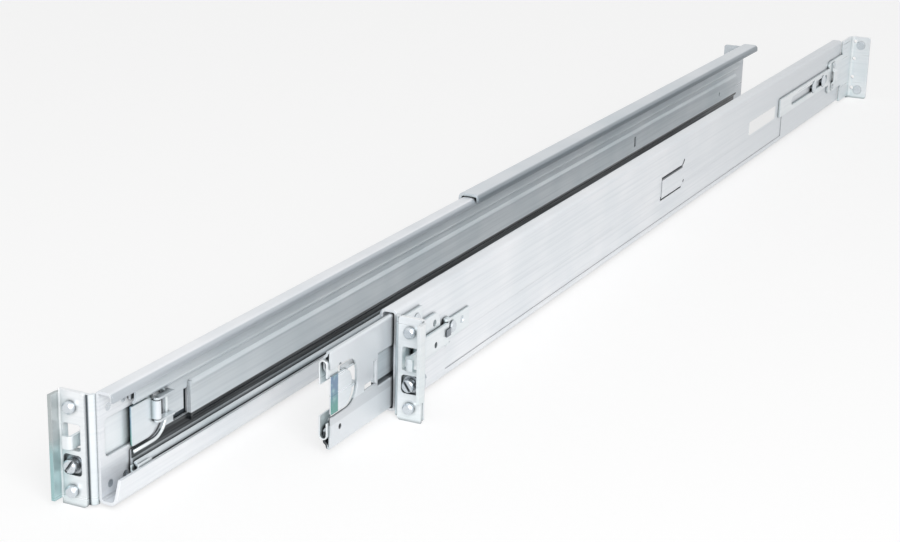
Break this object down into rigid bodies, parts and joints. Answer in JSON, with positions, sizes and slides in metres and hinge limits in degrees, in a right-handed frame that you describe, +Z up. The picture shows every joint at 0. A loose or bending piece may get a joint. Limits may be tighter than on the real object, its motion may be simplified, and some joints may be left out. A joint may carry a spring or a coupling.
{
  "type": "sliding server rail pair",
  "caption": "Pair of ball-bearing slide rails for a server rack: outer channels with sprung end brackets and pegs, middle channels that pull out on ball cages.",
  "frame": {"origin": "centre of the pair's bounding box, at the height of the surface that it stands on", "axes": "+Y along the rails from front to rear, +X from the left rail to the right rail, +Z up"},
  "size_m": [0.0804, 0.826, 0.046],
  "materials": {
    "ball_steel": "polished hardened steel",
    "cage_steel": "thin stamped steel, light zinc plate",
    "spring_steel": "bare cold-rolled spring strip",
    "zinc_fasteners": "turned or cold-headed steel, bright zinc plate",
    "zinc_sheet": "bright zinc plate with a faint blue-green passivation"
  },
  "bodies": {
    "outer_rails": {"left_front_bracket": "zinc_sheet", "left_front_bracket_rivets": "zinc_fasteners", "left_front_latch_base": "zinc_sheet", "left_front_latch_pin": "zinc_fasteners", "left_front_latch_rivets": "zinc_fasteners", "left_front_latch_spring": "spring_steel", "left_front_pegs": "zinc_fasteners", "left_front_plate": "zinc_sheet", "left_outer_rail": "zinc_sheet", "left_rear_guide_rivets": "zinc_fasteners", "left_screw_nut": "zinc_fasteners", "left_screw_washer": "zinc_fasteners", "right_front_bracket": "zinc_sheet", "right_front_bracket_rivets": "zinc_fasteners", "right_front_latch_base": "zinc_sheet", "right_front_latch_pin": "zinc_fasteners", "right_front_latch_rivets": "zinc_fasteners", "right_front_latch_spring": "spring_steel", "right_front_pegs": "zinc_fasteners", "right_front_plate": "zinc_sheet", "right_outer_rail": "zinc_sheet", "right_rear_guide_rivets": "zinc_fasteners", "right_screw_nut": "zinc_fasteners", "right_screw_washer": "zinc_fasteners"},
    "left_middle": {"left_middle_rail": "zinc_sheet", "left_release_pin": "zinc_fasteners"},
    "left_release": {"left_release_lever": "zinc_sheet"},
    "left_ball_cage": {"left_lower_ball_cage": "cage_steel", "left_lower_balls": "ball_steel", "left_upper_ball_cage": "cage_steel", "left_upper_balls": "ball_steel"},
    "left_screw": {"left_front_screw": "zinc_fasteners"},
    "left_latch": {"left_front_latch": "zinc_sheet"},
    "left_rear": {"left_rear_bracket": "zinc_sheet", "left_rear_clip": "zinc_sheet", "left_rear_clip_rivets": "zinc_fasteners", "left_rear_pegs": "zinc_fasteners"},
    "right_middle": {"right_middle_rail": "zinc_sheet", "right_release_pin": "zinc_fasteners"},
    "right_release": {"right_release_lever": "zinc_sheet"},
    "right_ball_cage": {"right_lower_ball_cage": "cage_steel", "right_lower_balls": "ball_steel", "right_upper_ball_cage": "cage_steel", "right_upper_balls": "ball_steel"},
    "right_screw": {"right_front_screw": "zinc_fasteners"},
    "right_latch": {"right_front_latch": "zinc_sheet"},
    "right_rear": {"right_rear_bracket": "zinc_sheet", "right_rear_clip": "zinc_sheet", "right_rear_clip_rivets": "zinc_fasteners", "right_rear_pegs": "zinc_fasteners"}
  },
  "joints": [
    {"name": "left_middle_slide", "type": "slide", "parent": "outer_rails", "child": "left_middle", "axis": [0, -1, 0], "range_m": [0, 0.4]},
    {"name": "left_ball_cage_slide", "type": "slide", "parent": "outer_rails", "child": "left_ball_cage", "axis": [0, -1, 0], "range_m": [0, 0.201]},
    {"name": "left_release_hinge", "type": "hinge", "parent": "left_middle", "child": "left_release", "pos_m": [-0.0216, -0.37405, 0.0218], "axis": [0, 0, 1], "range_deg": [0, 10], "stiffness_Nm_per_rad": 0.03, "springref_deg": -5.73},
    {"name": "left_latch_hinge", "type": "hinge", "parent": "outer_rails", "child": "left_latch", "pos_m": [-0.02705, -0.36355, 0.0218], "axis": [0, 0, -1], "range_deg": [0, 2.8], "stiffness_Nm_per_rad": 0.08, "springref_deg": -5.73},
    {"name": "left_screw_spin", "type": "hinge", "parent": "outer_rails", "child": "left_screw", "pos_m": [-0.03375, -0.40505, 0.0156], "axis": [0, -1, 0], "continuous": true},
    {"name": "left_rear_length_slide", "type": "slide", "parent": "outer_rails", "child": "left_rear", "axis": [0, 1, 0], "range_m": [-0.051, 0.001]},
    {"name": "right_middle_slide", "type": "slide", "parent": "outer_rails", "child": "right_middle", "axis": [0, -1, 0], "range_m": [-0.066, 0.3335]},
    {"name": "right_ball_cage_slide", "type": "slide", "parent": "outer_rails", "child": "right_ball_cage", "axis": [0, -1, 0], "range_m": [-0.034, 0.1678]},
    {"name": "right_release_hinge", "type": "hinge", "parent": "right_middle", "child": "right_release", "pos_m": [0.0216, -0.31305, 0.0218], "axis": [0, 0, -1], "range_deg": [0, 10], "stiffness_Nm_per_rad": 0.03, "springref_deg": -5.73},
    {"name": "right_latch_hinge", "type": "hinge", "parent": "outer_rails", "child": "right_latch", "pos_m": [0.02705, -0.23605, 0.0218], "axis": [0, 0, 1], "range_deg": [0, 2.8], "stiffness_Nm_per_rad": 0.08, "springref_deg": -5.73},
    {"name": "right_screw_spin", "type": "hinge", "parent": "outer_rails", "child": "right_screw", "pos_m": [0.03375, -0.27755, 0.0156], "axis": [0, -1, 0], "continuous": true},
    {"name": "right_rear_length_slide", "type": "slide", "parent": "outer_rails", "child": "right_rear", "axis": [0, 1, 0], "range_m": [-0.004, 0.048]}
  ],
  "couplings": [
    {"joint": "left_ball_cage_slide", "follows": "left_middle_slide", "ratio": 0.5},
    {"joint": "right_ball_cage_slide", "follows": "right_middle_slide", "ratio": 0.5}
  ]
}
